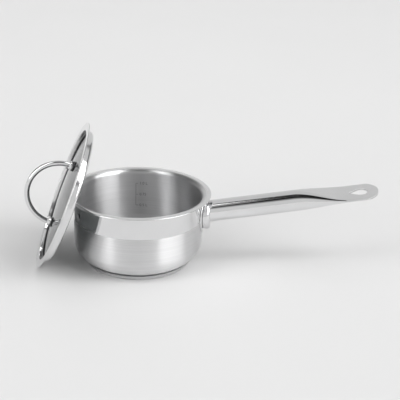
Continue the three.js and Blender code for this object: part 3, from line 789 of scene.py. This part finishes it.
# %% [markdown]
# ## What holds the loop
#
# At each foot a collar and a soft washer sit on the glass, and a soft washer, a steel washer and a domed screw hold
# them from below. The screw goes up into the wire. Its cross recess is cut by two flat blades.

# %% Spin the small pieces and set one of each at both feet
SOFT_RADIUS, SOFT_THICKNESS, SOFT_BEVEL, WASHER_BORE = 6.0, 1.0, 0.2, 2.0
STEEL_WASHER_RADIUS, STEEL_WASHER_THICKNESS, STEEL_WASHER_BEVEL = 5.5, 0.8, 0.15
COLLAR_EDGE = 0.8
SCREW_RADIUS, HEAD_RADIUS, HEAD_HEIGHT, SCREW_TIP, TIP_TAPER = 1.7, 4.0, 2.3, WIRE_END + 7.0, 0.8
OUTER_WASHER = GLASS_TOP + GAP
INNER_WASHER = GLASS_BOTTOM - GAP - SOFT_THICKNESS
STEEL_WASHER = INNER_WASHER - GAP - STEEL_WASHER_THICKNESS
SCREW_SEAT = STEEL_WASHER - GAP
SLOT_LENGTH, SLOT_WIDTH, SLOT_DEPTH = 4.4, 1.0, 1.2


def washer(radius, low, thickness, bevel):
    high = low + thickness
    profile = [
        (WASHER_BORE, low),
        (radius - bevel, low),
        (radius, low + bevel),
        (radius, high - bevel),
        (radius - bevel, high),
        (WASHER_BORE, high),
    ]
    return turned(profile, ring=True, steps=SMALL_STEPS)


def outer_pad():
    return washer(SOFT_RADIUS, OUTER_WASHER, SOFT_THICKNESS, SOFT_BEVEL)


def inner_pad():
    return washer(SOFT_RADIUS, INNER_WASHER, SOFT_THICKNESS, SOFT_BEVEL)


def flat_washer():
    return washer(STEEL_WASHER_RADIUS, STEEL_WASHER, STEEL_WASHER_THICKNESS, STEEL_WASHER_BEVEL)


def collar():
    top = WIRE_END + COLLAR_HEIGHT
    profile = [(COLLAR_BORE, WIRE_END), (COLLAR_RADIUS, WIRE_END)]
    profile += arc(COLLAR_RADIUS - COLLAR_EDGE, top - COLLAR_EDGE, COLLAR_EDGE, 0, 90, 5)
    profile += [(COLLAR_BORE, top)]
    return turned(profile, ring=True, steps=SMALL_STEPS)


def screw():
    bottom = SCREW_SEAT - HEAD_HEIGHT
    dome = (HEAD_RADIUS**2 + HEAD_HEIGHT**2) / (2 * HEAD_HEIGHT)
    half_angle = math.degrees(math.asin(HEAD_RADIUS / dome))
    profile = arc(0, bottom + dome, dome, -90, half_angle - 90, 10)
    profile += [
        (SCREW_RADIUS, SCREW_SEAT),
        (SCREW_RADIUS, SCREW_TIP - TIP_TAPER),
        (SCREW_RADIUS / 2, SCREW_TIP),
        (0, SCREW_TIP),
    ]
    blades = []
    for length, width in ((SLOT_LENGTH, SLOT_WIDTH), (SLOT_WIDTH, SLOT_LENGTH)):
        blade = bmesh.new()
        bmesh.ops.create_cube(blade, size=1.0)
        bmesh.ops.scale(blade, vec=Vector((length, width, 2 * SLOT_DEPTH)) * MM, verts=blade.verts)
        bmesh.ops.translate(blade, vec=(0, 0, bottom * MM), verts=blade.verts)
        blades.append(blade)
    return carve(turned(profile, steps=SMALL_STEPS), *blades)


fixings = [
    ("foot_collar", "loop_collar", collar, wire_polish, "lid_steel"),
    ("outer_pad", "outer_washer", outer_pad, silicone, "silicone"),
    ("inner_pad", "inner_washer", inner_pad, silicone, "silicone"),
    ("flat_washer", "steel_washer", flat_washer, fixing_finish, "fixing_steel"),
    ("domed_screw", "loop_screw", screw, fixing_finish, "fixing_steel"),
]
for end, x in (("upper", LOOP_RADIUS), ("lower", -LOOP_RADIUS)):
    for name, node, make, finish, slot in fixings:
        piece = at_foot(make(), x)
        finish_piece(piece, name + "_" + end, [finish], "lid", [node + "_" + end], lid_place)

# %% [markdown]
# ## The table
#
# A plain pale sheet, wide enough to fill the view, with a faint variation so that it isn't a flat tone. It belongs
# to the stage and not to the object.

# %% Lay the table
TABLE_SIZE = 14.0
sheet, tree, surface = new_finish("table_sheet")
spot = add(tree, "TexCoord").outputs["Object"]
blotches = noise(tree, spot, 1.5, 2.0)
tint = two_tones(tree, blotches, (0.69, 0.69, 0.69, 1.0), (0.72, 0.72, 0.72, 1.0))
tree.links.new(tint, surface.inputs["Base Color"])
surface.inputs["Roughness"].default_value = 0.75
surface.inputs["Specular IOR Level"].default_value = 0.2
ground = bmesh.new()
bmesh.ops.create_grid(ground, x_segments=4, y_segments=4, size=TABLE_SIZE / 2)
table_mesh = bpy.data.meshes.new("table")
ground.to_mesh(table_mesh)
ground.free()
table_mesh.materials.append(sheet)
table = bpy.data.objects.new("table", table_mesh)
bpy.context.collection.objects.link(table)
print("table", TABLE_SIZE, "m across")

# %% [markdown]
# ## The room that the steel reflects
#
# Polished steel shows its surroundings more than itself. A studio has bright walls and soft boxes, with dark gaps
# between them, and those make the bands on the handle and inside the pan. The world is a set of soft-edged
# patches over an even pale room. Each patch is given by the compass angle and height at which it starts and
# ends, with 0 towards the camera and positive towards the handle.

# %% Paint the room
ROOM_TONE = 0.64
FULL_TURN = 360
PATCHES = [  # from and to in degrees round, from and to in degrees up, softness in degrees, tone
    (-180, 180, -8, 34, 5, 0.70),  # pale band low round the room
    (92, 150, 18, 50, 4, 0.20),  # dim corner on the right, towards the back
    (-150, -70, 16, 60, 4, 0.03),  # dark side on the left
    (-98, -86, 16, 60, 4, 0.5),  # light gap in the dark side
    (-100, 100, 66, 92, 2, 0.02),  # dark ceiling over the front half
    (-44, 42, 37, 46, 3, 0.26),  # fade from the pale band to the ceiling
    (-20, 21, 46, 88, 3, 0.01),  # darkest part, in front
    (21, 42, 34, 66, 2, 0.22),  # grey gap before the right soft box
    (-40, -20, 34, 66, 3, 0.42),  # grey gap before the left soft box
    (42, 90, 8, 74, 1.5, 3.7),  # right soft box
    (-68, -40, 8, 74, 4, 3.6),  # left soft box
]
world = bpy.data.worlds.new("studio")
bpy.context.scene.world = world
world.use_nodes = True
room = world.node_tree
room.nodes.clear()
x, y, z = add(room, "SeparateXYZ", Vector=add(room, "TexCoord").outputs["Generated"]).outputs
turn = maths(room, "DEGREES", maths(room, "ARCTAN2", x, maths(room, "MULTIPLY", y, -1.0)))
rise = maths(room, "DEGREES", maths(room, "ARCSINE", z))


def ramp(value, edge, soft, rising):
    """Goes smoothly from 0 to 1 over the edge when it is rising, and from 1 to 0 otherwise."""
    start, end = (0.0, 1.0) if rising else (1.0, 0.0)
    smooth = {"interpolation_type": "SMOOTHSTEP"}
    node = add(room, "MapRange", smooth, _0=value, _1=edge - soft, _2=edge + soft, _3=start, _4=end)
    return node.outputs[0]


tone = ROOM_TONE
for left, right, low, high, soft, level in PATCHES:
    inside = maths(room, "MULTIPLY", ramp(rise, low, soft, True), ramp(rise, high, soft, False))
    if right - left < FULL_TURN:
        sides = maths(room, "MULTIPLY", ramp(turn, left, soft, True), ramp(turn, right, soft, False))
        inside = maths(room, "MULTIPLY", inside, sides)
    change = maths(room, "MULTIPLY", inside, maths(room, "SUBTRACT", level, tone))
    tone = maths(room, "ADD", tone, change)
glow = add(room, "Background", Color=add(room, "CombineXYZ", X=tone, Y=tone, Z=tone).outputs[0], Strength=1.0)
room.links.new(glow.outputs[0], add(room, "OutputWorld").inputs["Surface"])
print(len(PATCHES), "patches in the room")

# %% [markdown]
# ## Soft light from above
#
# One big square lamp overhead gives the table its even tone and the soft shadows close to the pan. It is left
# out of reflections, because the room already holds the bright shapes that the steel should show.

# %% Hang the lamp
LAMP_SIZE, LAMP_POWER = 3.0, 15.0
LAMP_PLACE = (0.3, 0.2, 2.6)
lamp_data = bpy.data.lights.new("overhead", "AREA")
lamp_data.shape, lamp_data.size, lamp_data.energy = "SQUARE", LAMP_SIZE, LAMP_POWER
lamp = bpy.data.objects.new("overhead", lamp_data)
lamp.location = LAMP_PLACE
lamp.visible_glossy = False
bpy.context.collection.objects.link(lamp)
print("lamp", LAMP_POWER, "W at", LAMP_PLACE[2], "m")

# %% [markdown]
# ## The camera
#
# A long lens from about a metre, looking down a little more than 20 degrees, keeps the verticals nearly parallel. The
# plain colour transform keeps the pale table pale.

# %% Place the camera
CAMERA_PLACE = (71.68, -1031.25, 488.16)
CAMERA_PITCH, CAMERA_ROLL = math.radians(21.78), math.radians(1.90)
SENSOR_WIDTH, LENS = 36.0, 85.88
camera_data = bpy.data.cameras.new("camera")
camera_data.sensor_width, camera_data.lens = SENSOR_WIDTH, LENS
camera = bpy.data.objects.new("camera", camera_data)
camera.matrix_world = (
    Matrix.Translation(Vector(CAMERA_PLACE) * MM)
    @ Matrix.Rotation(math.pi / 2 - CAMERA_PITCH, 4, "X")
    @ Matrix.Rotation(CAMERA_ROLL, 4, "Z")
)
bpy.context.collection.objects.link(camera)
bpy.context.scene.camera = camera
bpy.context.scene.view_settings.view_transform = "Standard"
print("camera at", [round(v, 3) for v in camera.location])
